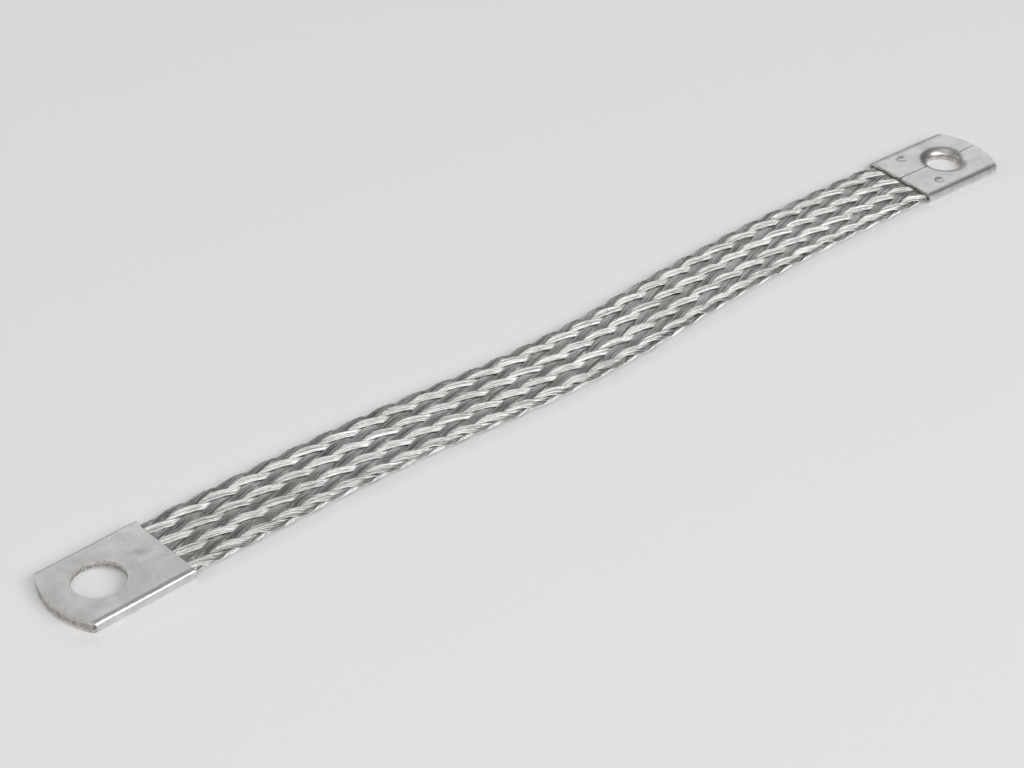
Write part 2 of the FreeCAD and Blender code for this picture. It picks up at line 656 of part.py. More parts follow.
def main():
    """Build the strap and write one file per piece."""
    doc = FreeCAD.newDocument("GroundingBraid")
    sheet = make_sheet(doc)
    near_sleeve = make_sleeve(doc, sheet, "near_sleeve", "near_hole")
    far_sleeve = make_sleeve(doc, sheet, "far_sleeve", "far_hole")
    near_end = make_pressed_end(doc, sheet, "near_pressed_end", "near_hole")
    far_end = make_pressed_end(doc, sheet, "far_pressed_end", "far_hole")
    for body in (near_sleeve, near_end):
        place_near(body)
    for body in (far_sleeve, far_end):
        place_far(body)
    strands = make_strands(doc, sheet)
    doc.recompute()
    pieces = [near_sleeve, far_sleeve, near_end, far_end] + strands
    check_document(doc, pieces)
    os.makedirs("parts", exist_ok=True)
    for piece in pieces:
        piece.Shape.exportStep(os.path.join("parts", f"{piece.Label}.step"))
        print(f"{piece.Label}: {piece.Shape.Volume:.2f} mm3")


main()
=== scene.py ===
"""Looks of a flat earthing braid: woven tinned wire with a folded, punched sleeve on each end.

Metres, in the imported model's own frame. +X runs along the strap from the near bolt hole to the
far one, +Z is up, and the strap lies on z = 0.
"""

from __future__ import annotations

import json
import logging
import math
from collections.abc import Callable
from dataclasses import dataclass
from enum import Enum
from functools import partial
from typing import Any

import bmesh
import bpy
import numpy as np
from mathutils import Matrix, Vector, noise

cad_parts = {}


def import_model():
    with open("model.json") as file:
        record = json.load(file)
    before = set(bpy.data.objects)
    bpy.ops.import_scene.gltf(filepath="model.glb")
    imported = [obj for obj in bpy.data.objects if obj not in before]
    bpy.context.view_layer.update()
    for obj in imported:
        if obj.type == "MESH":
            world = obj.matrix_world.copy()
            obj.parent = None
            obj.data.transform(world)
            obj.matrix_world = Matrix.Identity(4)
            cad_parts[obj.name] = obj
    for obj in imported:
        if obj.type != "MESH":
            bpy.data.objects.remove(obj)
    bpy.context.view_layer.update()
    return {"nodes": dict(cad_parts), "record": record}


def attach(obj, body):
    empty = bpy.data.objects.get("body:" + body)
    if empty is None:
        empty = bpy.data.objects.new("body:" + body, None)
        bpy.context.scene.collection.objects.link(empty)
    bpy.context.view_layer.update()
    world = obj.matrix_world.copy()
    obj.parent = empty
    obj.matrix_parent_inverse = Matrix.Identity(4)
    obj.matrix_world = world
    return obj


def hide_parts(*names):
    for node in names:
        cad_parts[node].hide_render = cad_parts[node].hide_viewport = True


log = logging.getLogger("earthing_braid")

MM = 0.001
BODY = "root"

Colour = tuple[float, float, float]
Place = tuple[float, float, float]
Span = tuple[float, float]
Socket = bpy.types.NodeSocket
Input = float | Colour | Socket

UNIT: Span = (0.0, 1.0)


class Lay(Enum):
    """The two ways that strands run round the braid."""

    RIGHT = ("r", 1, 0.0)
    LEFT = ("l", -1, 0.5)

    def __init__(self, letter: str, hand: int, shift: float) -> None:
        """Keep what tells the two lays apart.

        Args:
            letter: Letter in the names of the lay's strands.
            hand: 1 or -1, the way round the braid.
            shift: How far along the first strand starts, in strands.
        """
        self.letter = letter
        self.hand = hand
        self.shift = shift

    def strand_name(self, number: int) -> str:
        """Name of one of the lay's strands."""
        return f"strand_{self.letter}{number:02d}"


class SeamSide(Enum):
    """Which face of a sleeve the strip's edges meet on."""

    DOWN = -1
    UP = 1


# Shader wiring

class Wiring:
    """Adds nodes to one node tree and feeds their inputs."""

    def __init__(self, tree: bpy.types.NodeTree) -> None:
        """Start from an empty tree."""
        self.tree = tree
        self.tree.nodes.clear()

    def feed(self, value: Input, target: Socket) -> None:
        """Link a socket to an input, or set the input to a number or a colour.

        Args:
            value: The socket, number or colour.
            target: The input.
        """
        if isinstance(value, Socket):
            self.tree.links.new(value, target)
        elif isinstance(value, tuple):
            target.default_value = (*value, 1.0)
        else:
            target.default_value = value

    def fill(self, node: bpy.types.Node, **inputs: Input) -> None:
        """Feed a node's inputs, by name with underscores for spaces."""
        for name, value in inputs.items():
            self.feed(value, node.inputs[name.replace("_", " ")])

    def add(self, kind: str, **inputs: Input) -> bpy.types.Node:
        """Add a node and feed its inputs.

        Args:
            kind: The node's type, without its ShaderNode prefix.
            inputs: Numbers, colours or sockets by input name, with underscores for spaces.

        Returns:
            The new node.
        """
        node = self.tree.nodes.new("ShaderNode" + kind)
        self.fill(node, **inputs)
        return node

    def spread(self, value: Socket, source: Span, target: Span) -> Socket:
        """Stretch a value from one range to another, held at the ends.

        Args:
            value: The value to stretch.
            source: The range that it comes from.
            target: The range that it goes to.

        Returns:
            The stretched value.
        """
        node = self.add("MapRange", Value=value, From_Min=source[0], From_Max=source[1],
                        To_Min=target[0], To_Max=target[1])
        return node.outputs["Result"]

    def calculate(self, operation: str, *values: float | Socket) -> Socket:
        """Work out a value from others.

        Args:
            operation: The Math node's operation.
            values: Numbers, or sockets that give them, in the node's order.

        Returns:
            The result.
        """
        node = self.add("Math")
        node.operation = operation
        for value, target in zip(values, node.inputs):
            self.feed(value, target)
        return node.outputs["Value"]

    def blend(self, factor: Socket, first: Colour | Socket, second: Colour) -> Socket:
        """Mix two colours.

        Args:
            factor: Share of the second colour.
            first: Colour, or a socket that gives one.
            second: Colour.

        Returns:
            The mixed colour.
        """
        node = self.add("Mix")
        node.data_type = "RGBA"
        # The node has sockets of the same names for numbers, vectors and colours.
        sockets = {socket.identifier: socket for socket in (*node.inputs, *node.outputs)}
        self.feed(factor, sockets["Factor_Float"])
        self.feed(first, sockets["A_Color"])
        self.feed(second, sockets["B_Color"])
        return sockets["Result_Color"]


class SharedEffects:
    """Node groups that more than one finish uses."""

    # Ranges of the noise patterns that are stretched to the range from 0 to 1
    BLOTCH_RANGE: Span = (0.36, 0.66)
    SPECKLE_RANGE: Span = (0.30, 0.70)
    STREAK_RANGE: Span = (0.38, 0.62)
    PIT_RANGE: Span = (0.50, 0.72)

    # Height of the blotches against the speckle
    BLOTCH_HEIGHT = 3.0

    # Scale of the streaks along each axis, so that they are longer upright
    STREAK_STRETCH = (1.0, 1.0, 0.3)

    @staticmethod
    def empty_group(name: str, inputs: tuple[str, ...],
                    outputs: tuple[str, ...]) -> tuple[Wiring, bpy.types.Node, bpy.types.Node]:
        """Make a group with its sockets.

        Args:
            name: The group's name.
            inputs: Names of its number inputs, after its vector input.
            outputs: Names of its number outputs.

        Returns:
            The group's wiring, its input node and its output node.
        """
        tree = bpy.data.node_groups.new(name, "ShaderNodeTree")
        tree.interface.new_socket("Vector", in_out="INPUT", socket_type="NodeSocketVector")
        for socket in inputs:
            tree.interface.new_socket(socket, in_out="INPUT", socket_type="NodeSocketFloat")
        for socket in outputs:
            tree.interface.new_socket(socket, in_out="OUTPUT", socket_type="NodeSocketFloat")
        wiring = Wiring(tree)
        return wiring, tree.nodes.new("NodeGroupInput"), tree.nodes.new("NodeGroupOutput")

    def tin_mottle(self) -> bpy.types.NodeTree:
        """Cloudy tin plate: broad blotches, fine speckle and a height for both.

        Returns:
            The group.
        """
        wiring, entry, leave = self.empty_group(
            "tin_mottle", ("Blotch Scale", "Speckle Scale"), ("Blotch", "Speckle", "Height"))
        place = entry.outputs["Vector"]
        broad = wiring.add("TexNoise", Vector=place, Scale=entry.outputs["Blotch Scale"],
                           Detail=3.0, Roughness=0.55, Distortion=0.6).outputs["Fac"]
        fine = wiring.add("TexNoise", Vector=place, Scale=entry.outputs["Speckle Scale"],
                          Detail=2.0, Roughness=0.6).outputs["Fac"]
        wiring.fill(
            leave,
            Blotch=wiring.spread(broad, self.BLOTCH_RANGE, UNIT),
            Speckle=wiring.spread(fine, self.SPECKLE_RANGE, UNIT),
            Height=wiring.calculate("MULTIPLY_ADD", broad, self.BLOTCH_HEIGHT, fine),
        )
        return wiring.tree

    def shear_grain(self) -> bpy.types.NodeTree:
        """Torn metal of a sheared edge: upright streaks and pits, with a height for both.

        Returns:
            The group.
        """
        wiring, entry, leave = self.empty_group(
            "shear_grain", ("Streak Scale", "Pit Scale"), ("Streak", "Pit", "Height"))
        place = entry.outputs["Vector"]
        upright = wiring.add("Mapping", Vector=place)
        upright.inputs["Scale"].default_value = self.STREAK_STRETCH
        streaks = wiring.add("TexNoise", Vector=upright.outputs["Vector"],
                             Scale=entry.outputs["Streak Scale"], Detail=3.0, Roughness=0.65, Distortion=0.4)
        pits = wiring.add("TexNoise", Vector=place, Scale=entry.outputs["Pit Scale"],
                          Detail=2.0, Roughness=0.7)
        streak = wiring.spread(streaks.outputs["Fac"], self.STREAK_RANGE, UNIT)
        # The pit mask sinks the pits and places the painted shade in them
        shaded_pit = wiring.spread(pits.outputs["Fac"], self.PIT_RANGE, UNIT)
        wiring.fill(leave, Streak=streak, Pit=shaded_pit, Height=wiring.calculate("SUBTRACT", streak, shaded_pit))
        return wiring.tree


class Surface:
    """A new material with its shader, ready for a finish to wire up."""

    def __init__(self, name: str, **constants: float | Colour) -> None:
        """Make the material.

        Args:
            name: The material's name.
            constants: Values for the shader's own sockets.
        """
        self.material = bpy.data.materials.new(name)
        self.material.use_nodes = True
        self.wiring = Wiring(self.material.node_tree)
        self.shader = self.wiring.add("BsdfPrincipled", **constants)
        self.wiring.add("OutputMaterial", Surface=self.shader.outputs["BSDF"])
        self.place = self.wiring.add("TexCoord").outputs["Object"]

    def effect(self, group: bpy.types.NodeTree, **inputs: float) -> bpy.types.Node:
        """Place a shared effect that reads this surface's coordinates.

        Args:
            group: The effect's node group.
            inputs: Its values by socket name, with underscores for spaces.

        Returns:
            The group's node.
        """
        node = self.wiring.add("Group")
        node.node_tree = group
        self.wiring.fill(node, Vector=self.place, **inputs)
        return node

    def vary(self, **sockets: Socket) -> None:
        """Link sockets to the shader's inputs, by name with underscores for spaces."""
        self.wiring.fill(self.shader, **sockets)

    def bump(self, height: Socket, strength: float, distance: float) -> None:
        """Raise the surface by a height.

        Args:
            height: Socket that gives the height.
            strength: Share of the bump that shows.
            distance: Size of a whole step of height.
        """
        bump = self.wiring.add("Bump", Height=height, Strength=strength, Distance=distance)
        self.vary(Normal=bump.outputs["Normal"])


# Finishes, with the scales of their patterns in cycles per metre

@dataclass(frozen=True)
class TinnedSheet:
    """Pressed copper strip with a satin tin plate, smudged by handling."""

    plate: Colour = (0.80, 0.80, 0.785)
    smudge: Colour = (0.66, 0.66, 0.65)
    roughness: Span = (0.32, 0.46)
    blotch_scale: float = 260.0
    speckle_scale: float = 2600.0
    bump_strength: float = 0.22
    bump_distance: float = 0.04 * MM

    def build(self, mottle: bpy.types.NodeTree) -> bpy.types.Material:
        """Make the material.

        Args:
            mottle: The tin mottle group.

        Returns:
            The material.
        """
        surface = Surface("tinned_sheet", Metallic=1.0)
        wiring = surface.wiring
        tin = surface.effect(mottle, Blotch_Scale=self.blotch_scale, Speckle_Scale=self.speckle_scale)
        surface.vary(
            Base_Color=wiring.blend(tin.outputs["Blotch"], self.plate, self.smudge),
            Roughness=wiring.spread(tin.outputs["Speckle"], UNIT, self.roughness),
        )
        surface.bump(tin.outputs["Height"], self.bump_strength, self.bump_distance)
        return surface.material


@dataclass(frozen=True)
class TornMetal:
    """Cut metal in streaks of copper and tin, with painted shade in its pits. Each such finish gives its
    values.
    """

    name: str
    copper: Colour
    tin: Colour
    # Darker colour of the pits: painted shade in them
    shaded_pit: Colour
    metallic: float
    roughness: float
    streak_scale: float
    pit_scale: float
    bump_strength: float
    bump_distance: float

    def build(self, grain: bpy.types.NodeTree) -> bpy.types.Material:
        """Make the material.

        Args:
            grain: The shear grain group.

        Returns:
            The material.
        """
        surface = Surface(self.name, Metallic=self.metallic, Roughness=self.roughness)
        wiring = surface.wiring
        torn = surface.effect(grain, Streak_Scale=self.streak_scale, Pit_Scale=self.pit_scale)
        streaked = wiring.blend(torn.outputs["Streak"], self.copper, self.tin)
        # The pits take the darker colour, as painted shade
        surface.vary(Base_Color=wiring.blend(torn.outputs["Pit"], streaked, self.shaded_pit))
        surface.bump(torn.outputs["Height"], self.bump_strength, self.bump_distance)
        return surface.material


@dataclass(frozen=True)
class ShearedEdge(TornMetal):
    """Cut edge of the strip, where the copper shows through the tin."""

    name: str = "sheared_edge"
    copper: Colour = (0.63, 0.59, 0.56)
    tin: Colour = (0.78, 0.77, 0.755)
    # Painted shade in the pits of the torn edge
    shaded_pit: Colour = (0.44, 0.40, 0.37)
    metallic: float = 0.85
    roughness: float = 0.45
    streak_scale: float = 900.0
    pit_scale: float = 1500.0
    bump_strength: float = 0.5
    bump_distance: float = 0.04 * MM


@dataclass(frozen=True)
class CrushedWire(TornMetal):
    """Cut face of the wires that are crushed solid inside a sleeve."""

    name: str = "crushed_wire"
    copper: Colour = (0.44, 0.39, 0.35)
    tin: Colour = (0.64, 0.62, 0.59)
    # Painted shade in the pits and the gaps between the crushed wires
    shaded_pit: Colour = (0.24, 0.21, 0.19)
    metallic: float = 0.7
    roughness: float = 0.55
    streak_scale: float = 1300.0
    pit_scale: float = 2200.0
    bump_strength: float = 0.8
    bump_distance: float = 0.06 * MM


@dataclass(frozen=True)
class TinnedWire:
    """Drawn copper wire with a bright tin coat, each wire a little lighter or darker."""

    bright: Colour = (0.85, 0.85, 0.835)
    dull: Colour = (0.44, 0.44, 0.42)
    stain: Colour = (0.52, 0.51, 0.46)
    stain_range: Span = (0.55, 1.0)
    stain_share: Span = (0.0, 0.25)
    roughness: Span = (0.17, 0.27)
    blotch_scale: float = 95.0
    speckle_scale: float = 1800.0
    bump_strength: float = 0.15
    bump_distance: float = 0.01 * MM

    def build(self, mottle: bpy.types.NodeTree) -> bpy.types.Material:
        """Make the material.

        Args:
            mottle: The tin mottle group.

        Returns:
            The material.
        """
        surface = Surface("tinned_wire", Metallic=1.0)
        wiring = surface.wiring
        tin = surface.effect(mottle, Blotch_Scale=self.blotch_scale, Speckle_Scale=self.speckle_scale)
        tone = wiring.add("Attribute")
        tone.attribute_name = WireBundle.TONE
        drawn = wiring.blend(tone.outputs["Fac"], self.bright, self.dull)
        stained = wiring.spread(tin.outputs["Blotch"], self.stain_range, self.stain_share)
        surface.vary(
            Base_Color=wiring.blend(stained, drawn, self.stain),
            Roughness=wiring.spread(tin.outputs["Speckle"], UNIT, self.roughness),
        )
        surface.bump(tin.outputs["Height"], self.bump_strength, self.bump_distance)
        return surface.material


# Floor, lamps and camera

@dataclass(frozen=True)
class PaleFloor:
    """Plain matt studio floor, lifted a little wherever it is seen so that it stays pale far off."""

    paint: Colour = (0.94, 0.94, 0.94)
    roughness: float = 0.7
    lift: float = 0.08
    half_size: float = 2.4
    depth: float = 0.05 * MM

    def material(self) -> bpy.types.Material:
        """Make the paint, with its lift for the rays that show the floor.

        Returns:
            The material.
        """
        surface = Surface(
            "pale_floor", Base_Color=self.paint, Emission_Color=self.paint, Roughness=self.roughness)
        wiring = surface.wiring
        rays = wiring.add("LightPath")
        seen = rays.outputs["Is Camera Ray"]
        for kind in ("Is Glossy Ray", "Is Transmission Ray"):
            seen = wiring.calculate("MAXIMUM", seen, rays.outputs[kind])
        surface.vary(Emission_Strength=wiring.spread(seen, UNIT, (0.0, self.lift)))
        return surface.material

    def build(self) -> bpy.types.Object:
        """Make the floor just below the strap.

        Returns:
            The floor.
        """
        bm = bmesh.new()
        bmesh.ops.create_grid(bm, x_segments=1, y_segments=1, size=self.half_size)
        bmesh.ops.translate(bm, verts=bm.verts, vec=(0.0, 0.0, -self.depth))
        mesh = bpy.data.meshes.new("floor")
        bm.to_mesh(mesh)
        bm.free()
        mesh.materials.append(self.material())
        floor = bpy.data.objects.new("floor", mesh)
        bpy.context.collection.objects.link(floor)
        return floor


@dataclass(frozen=True)
class Panel:
    """Soft studio panel, as bright as its radiance wherever a reflection shows it."""

    name: str
    place: Place
    width: float
    height: float
    radiance: float
    target: Place = (0.09, 0.0, 0.0)

    def build(self) -> bpy.types.Object:
        """Make the lamp and aim it.

        Returns:
            The lamp.
        """
        lamp = bpy.data.lights.new(self.name, "AREA")
        lamp.shape = "RECTANGLE"
        lamp.size = self.width
        lamp.size_y = self.height
        lamp.energy = self.radiance * math.pi * self.width * self.height
        holder = bpy.data.objects.new(self.name, lamp)
        holder.location = self.place
        aim = Vector(self.target) - Vector(self.place)
        holder.rotation_euler = aim.to_track_quat("-Z", "Y").to_euler()
        bpy.context.collection.objects.link(holder)
        return holder


@dataclass(frozen=True)
class Studio:
    """Floor, lamps, surroundings and camera."""

    surround: float = 0.10
    panels: tuple[Panel, ...] = (
        Panel("key_panel", place=(0.13, -1.20, 0.92), width=1.50, height=0.85, radiance=3.7),
        Panel("back_panel", place=(0.79, 0.745, 0.71), width=1.28, height=0.58, radiance=1.03,
              target=(0.10, 0.0, 0.0)),
        Panel("fill_panel", place=(-0.93, -0.56, 1.12), width=0.96, height=0.96, radiance=1.1),
        Panel("side_panel", place=(-0.62, 0.745, 0.60), width=1.00, height=0.58, radiance=0.9),
        Panel("top_panel", place=(0.09, 0.02, 1.50), width=0.90, height=0.70, radiance=0.8),
    )

    # Camera, with its angles in degrees and its lens and sensor in millimetres
    target: Place = (0.07865, -0.00409, 0.0010)
    azimuth: float = -43.03
    elevation: float = 35.3
    distance: float = 0.3897
    lens: float = 83.8
    sensor_width: float = 36.0
    clip_start: float = 0.01

    def build(self) -> None:
        """Make the whole set."""
        bpy.context.scene.view_settings.view_transform = "Standard"
        PaleFloor().build()
        for panel in self.panels:
            panel.build()
        world = bpy.data.worlds.new("surround")
        world.use_nodes = True
        background = world.node_tree.nodes["Background"]
        background.inputs["Color"].default_value = (1.0, 1.0, 1.0, 1.0)
        background.inputs["Strength"].default_value = self.surround
        bpy.context.scene.world = world
        self.build_camera()

    def build_camera(self) -> None:
        """Stand the camera where the photograph was taken from."""
        turn = math.radians(self.azimuth)
        tilt = math.radians(self.elevation)
        back = Vector((math.cos(tilt) * math.sin(turn), -math.cos(tilt) * math.cos(turn), math.sin(tilt)))
        lens = bpy.data.cameras.new("camera")
        lens.lens = self.lens
        lens.sensor_width = self.sensor_width
        lens.sensor_fit = "HORIZONTAL"
        lens.clip_start = self.clip_start
        camera = bpy.data.objects.new("camera", lens)
        camera.location = Vector(self.target) + back * self.distance
        camera.rotation_euler = (-back).to_track_quat("-Z", "Y").to_euler()
        bpy.context.collection.objects.link(camera)
        bpy.context.scene.camera = camera


# Helpers of the pieces

def ease(share: np.ndarray) -> np.ndarray:
    """Smooth step from 0 to 1."""
    held = np.clip(share, 0.0, 1.0)
    return held * held * (3.0 - 2.0 * held)


def take_mesh(curve: bpy.types.Curve) -> bpy.types.Mesh:
    """Turn a curve into a mesh of the same name.

    Args:
        curve: The curve, which is removed.

    Returns:
        The mesh.
    """
    name = curve.name
    holder = bpy.data.objects.new(name, curve)
    mesh = bpy.data.meshes.new_from_object(holder)
    mesh.name = name
    bpy.data.objects.remove(holder)
    bpy.data.curves.remove(curve)
    return mesh


def add_piece(mesh: bpy.types.Mesh, node: str) -> bpy.types.Object:
    """Show a mesh as the piece that stands for a node.

    Args:
        mesh: The piece's mesh, in place.
        node: The node that it replaces.

    Returns:
        The piece.
    """
    piece = bpy.data.objects.new(mesh.name, mesh)
    bpy.context.collection.objects.link(piece)
    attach(piece, BODY)
    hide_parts(node)
    log.info("%s: %d faces, stands for %s", piece.name, len(mesh.polygons), node)
    return piece


# Braid

class Route:
    """Middle line of the braid from bolt hole to bolt hole."""

    # Control points of the line, along and across the strap
    POINTS = (
        (0.0, 0.0), (0.044, 0.0), (0.089, -0.006), (0.122, -0.0039), (0.155, -0.0042), (0.187, -0.0069),
    )
    HEIGHT = 1.0 * MM
    RESOLUTION = 64

    def __init__(self) -> None:
        """Read the line and its directions from the route's spline."""
        self.points = self.read_spline()
        steps = np.linalg.norm(np.diff(self.points, axis=0), axis=1)
        self.along = np.concatenate(([0.0], np.cumsum(steps)))
        heading = np.gradient(self.points, self.along, axis=0)
        left = np.stack((-heading[:, 1], heading[:, 0], np.zeros(len(heading))), axis=1)
        self.left = left / np.linalg.norm(left, axis=1)[:, None]

    @property
    def length(self) -> float:
        """Length of the line from hole to hole."""
        return float(self.along[-1])

    def read_spline(self) -> np.ndarray:
        """Make a smooth spline with the route's points as its control points.

        Returns:
            Points along the spline.
        """
        curve = bpy.data.curves.new("braid_route", "CURVE")
        curve.dimensions = "3D"
        curve.resolution_u = self.RESOLUTION
        spline = curve.splines.new("NURBS")
        spline.points.add(len(self.POINTS) - 1)
        for control, (x, y) in zip(spline.points, self.POINTS):
            control.co = (x, y, self.HEIGHT, 1.0)
        spline.order_u = 3
        spline.use_endpoint_u = True
        mesh = take_mesh(curve)
        points = np.array([vertex.co for vertex in mesh.vertices])
        bpy.data.meshes.remove(mesh)
        return points

    def place(self, along: np.ndarray) -> tuple[np.ndarray, np.ndarray]:
        """Find points on the line and the directions to its left.

        Args:
            along: Distances from the near hole.

        Returns:
            The points and the directions, one row each.
        """
        points = [np.interp(along, self.along, column) for column in self.points.T]
        lefts = [np.interp(along, self.along, column) for column in self.left.T]
        return np.stack(points, axis=1), np.stack(lefts, axis=1)

    def stretch(self, start: float, finish: float) -> np.ndarray:
        """Points of the line between two distances from the near hole."""
        inside = (self.along > start) & (self.along < finish)
        return self.points[inside]


@dataclass(frozen=True)
class Weave:
    """Flattened tube of strands, each over two and under two."""

    # The tube, and the gap between its upper and lower wall
    width: float = 14.8 * MM
    thickness: float = 1.9 * MM
    wall_gap: float = 0.1 * MM

    # Length along the braid in which a strand moves on by one column
    pitch: float = 5.7 * MM
    strands_each_way: int = 16
    strand_gap: float = 0.15 * MM

    # From the braid's middle to a line where strands change places
    offset: float = 5.5 * MM

    # Height of a float's middle, in layers, and how far a float leans sideways, in layers per column
    float_rise: float = 0.78
    shingle: float = 1.85

    # Points across half a strand at which its highest one is looked for
    samples: int = 101

    @property
    def reach(self) -> float:
        """Half the thickness of one wall of the tube."""
        return (self.thickness - self.wall_gap) / 4

    @property
    def fold_radius(self) -> float:
        """Radius of the wall's middle where the tube folds."""
        return self.thickness / 2 - self.reach

    @property
    def flat(self) -> float:
        """Half the width of the flat between the folds."""
        return (self.width - self.thickness) / 2

    @property
    def girth(self) -> float:
        """Distance round the middle of the wall."""
        return 4 * self.flat + 2 * math.pi * self.fold_radius

    @property
    def column(self) -> float:
        """Width of one column of floats."""
        return self.girth / self.strands_each_way

    @property
    def strand_width(self) -> float:
        """Width of one strand."""
        return self.column - self.strand_gap

    @property
    def layer(self) -> float:
        """Height of one layer of strands, such that the highest floats just reach the wall's face.

        Returns:
            The height.
        """
        share = np.linspace(0.0, 1.0, self.samples)
        side = share * self.strand_width / self.column / 2
        half_strand = 0.5 * np.sqrt(1.0 - share ** 2)
        highest = np.hypot(self.float_rise, self.shingle * side) + half_strand
        return self.reach / float(highest.max())

    def middle(self, along: np.ndarray, lay: Lay, order: float) -> np.ndarray:
        """Place round the tube of a strand's middle."""
        return lay.hand * self.column * (along / self.pitch - order)

    def rise(self, around: np.ndarray, side: np.ndarray, lay: Lay) -> np.ndarray:
        """Height of a strand off the wall's middle.

        Args:
            around: Places round the tube.
            side: Distances from the strand's own middle.
            lay: The way that the strand runs.

        Returns:
            The heights, outwards.
        """
        phase = math.pi * around / self.column
        tip = self.shingle * side / self.column
        return lay.hand * self.layer * (self.float_rise * np.sin(phase) - tip * np.cos(phase))

    def on_top(self, around: np.ndarray, lay: Lay) -> np.ndarray:
        """How far a strand is the outer one there, from 0 to 1."""
        return ease(lay.hand * np.sin(math.pi * around / self.column))

    def wrap(self, around: np.ndarray, off: np.ndarray) -> tuple[np.ndarray, np.ndarray]:
        """Fold the tube flat.

        Args:
            around: Places round the tube.
            off: Heights off the wall's middle.

        Returns:
            Distances across the braid and up from its middle.
        """
        radius = self.fold_radius + off
        turn = math.pi * self.fold_radius
        first = (around - self.offset) % self.girth
        left_fold = first - self.flat
        under = left_fold - turn
        right_fold = under - 2 * self.flat
        last = right_fold - turn
        left_angle = left_fold / self.fold_radius
        right_angle = right_fold / self.fold_radius
        stretches = [left_fold < 0, under < 0, right_fold < 0, last < 0]
        across = np.select(
            stretches,
            [
                -first,
                -self.flat - radius * np.sin(left_angle),
                under - self.flat,
                self.flat + radius * np.sin(right_angle),
            ],
            self.flat - last,
        )
        up = np.select(
            stretches,
            [radius, radius * np.cos(left_angle), -radius, -radius * np.cos(right_angle)],
            radius,
        )
        return across, up

    def fold_share(self, around: np.ndarray) -> np.ndarray:
        """1 where a place round the tube is on a fold, 0 on the flats."""
        across, _ = self.wrap(around, np.zeros_like(around))
        return (np.abs(across) > self.flat).astype(float)


@dataclass(frozen=True)
class WireBundle:
    """Fine wires of one strand: a flat row, with a few more that ride on top of its floats."""

    # Attribute that holds how dull a wire is
    TONE = "wire_tone"

    # The wires of the row, and how far it drops at its sides on a float
    diameter: float = 0.18 * MM
    roundness: int = 1
    row: int = 9
    crown: float = 0.20 * MM

    # Places of the other wires across the strand, and their height over the row
    riders: tuple[float, ...] = (-0.36 * MM, 0.02 * MM, 0.38 * MM)
    rider_lift: float = 0.10 * MM

    # Seeded waves that move a wire sideways and up or down
    wander: float = 0.05 * MM
    bounce: float = 0.02 * MM
    wave_lengths: tuple[float, ...] = (31.0 * MM, 13.0 * MM, 7.0 * MM)
    wave_stretch: Span = (0.8, 1.25)
    wave_height: Span = (0.3, 1.0)

    # Thickness of a wire at the sleeves against a free one
    crushed_share: float = 0.85

    # Points along a wire, and how many more of them a fold gets
    stations: int = 176
    fold_weight: float = 1.3


